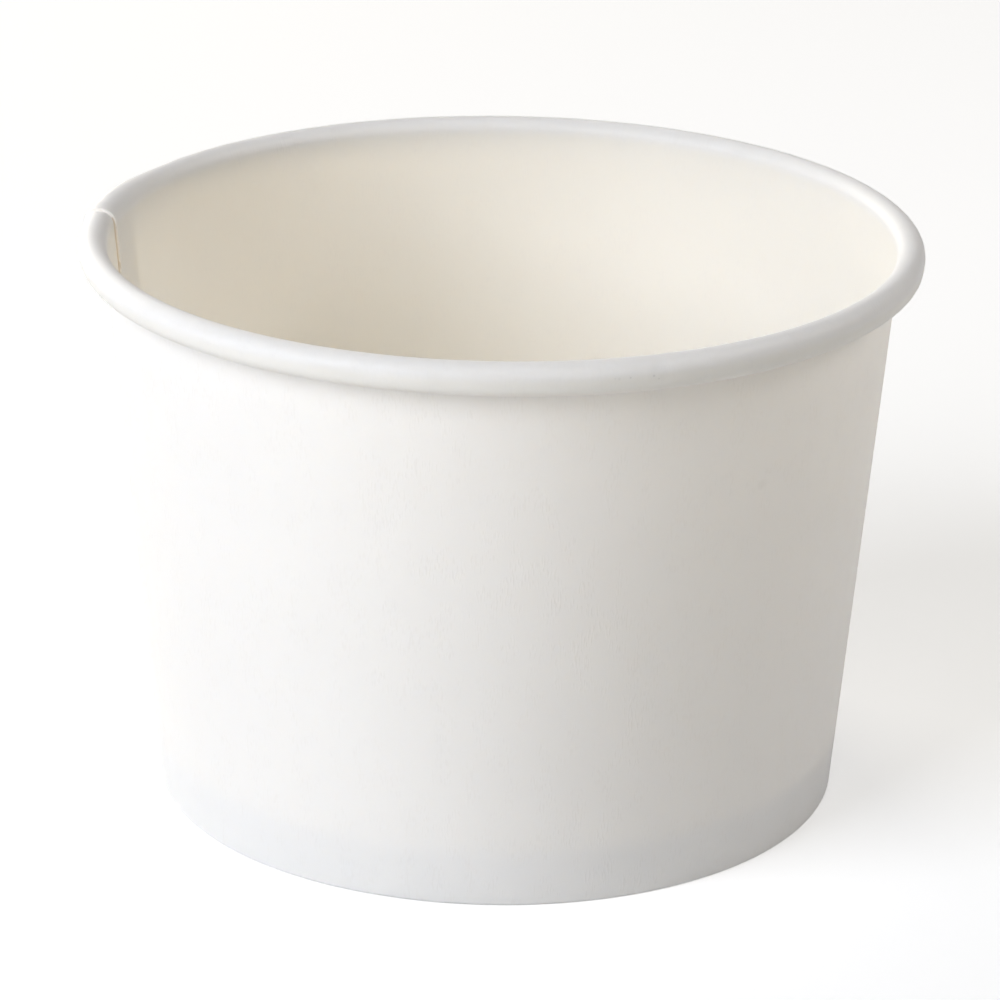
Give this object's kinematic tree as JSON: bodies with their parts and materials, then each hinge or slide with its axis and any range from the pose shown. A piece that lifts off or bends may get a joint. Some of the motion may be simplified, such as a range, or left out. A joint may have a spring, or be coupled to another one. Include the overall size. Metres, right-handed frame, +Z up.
{
  "type": "paper sundae cup",
  "caption": "Open white paper cup with a tapered wrapped wall, an outward rolled rim, a lap seam and a recessed base disc held in the folded foot.",
  "frame": {"origin": "on the floor at the centre of the foot that the cup stands on", "axes": "+Z up through the middle of the open mouth, -Y towards the front of the picture, +X to its right; the lap seam is at the left, 174 degrees round from +X"},
  "size_m": [0.0981, 0.098, 0.0677],
  "materials": {
    "wall_board": "white coated board, smooth and nearly matte outside, a little creamier inside",
    "base_board": "white coated board, nearly matte"
  },
  "bodies": {
    "root": {"side_wall": "wall_board", "base_disc": "base_board"}
  },
  "joints": []
}
